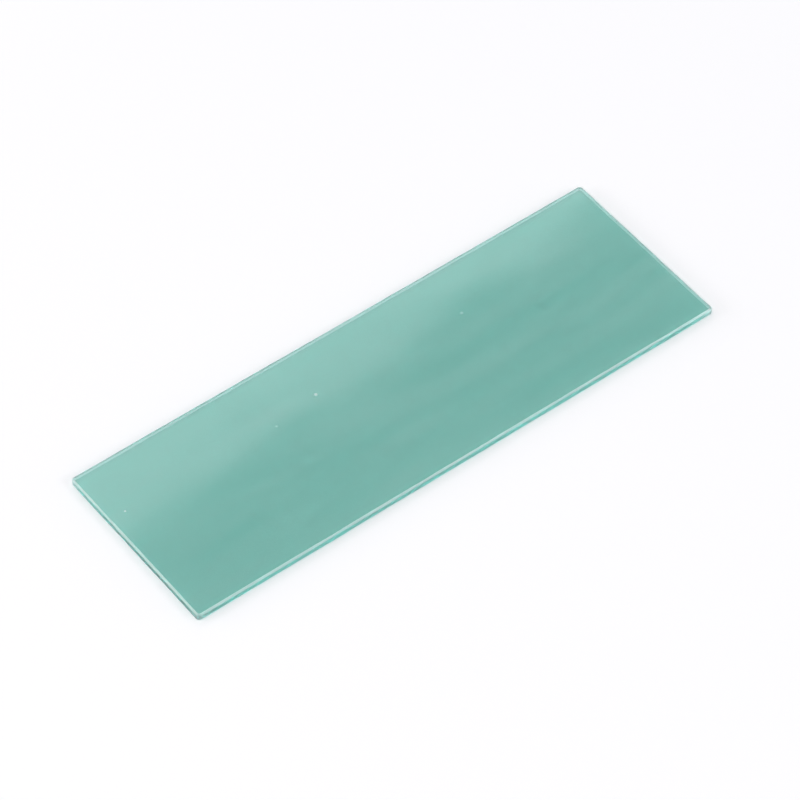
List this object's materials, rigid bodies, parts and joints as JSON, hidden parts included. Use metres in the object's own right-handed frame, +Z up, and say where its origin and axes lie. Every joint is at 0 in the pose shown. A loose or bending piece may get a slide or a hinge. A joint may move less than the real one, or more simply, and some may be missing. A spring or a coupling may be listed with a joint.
{
  "type": "microscope slide",
  "caption": "Thin rectangular plate of clear glass with polished faces, ground edges and lightly rounded corners, for carrying a specimen under a microscope.",
  "frame": {"origin": "middle of the face that the slide lies on", "axes": "+X along the slide's length, +Y across it, +Z up through the glass"},
  "size_m": [0.0762, 0.0254, 0.0011],
  "materials": {
    "clear_glass": "polished faces with a faint blue-green tint, fine-ground edges"
  },
  "bodies": {
    "root": {"glass_slide": "clear_glass"}
  },
  "joints": []
}
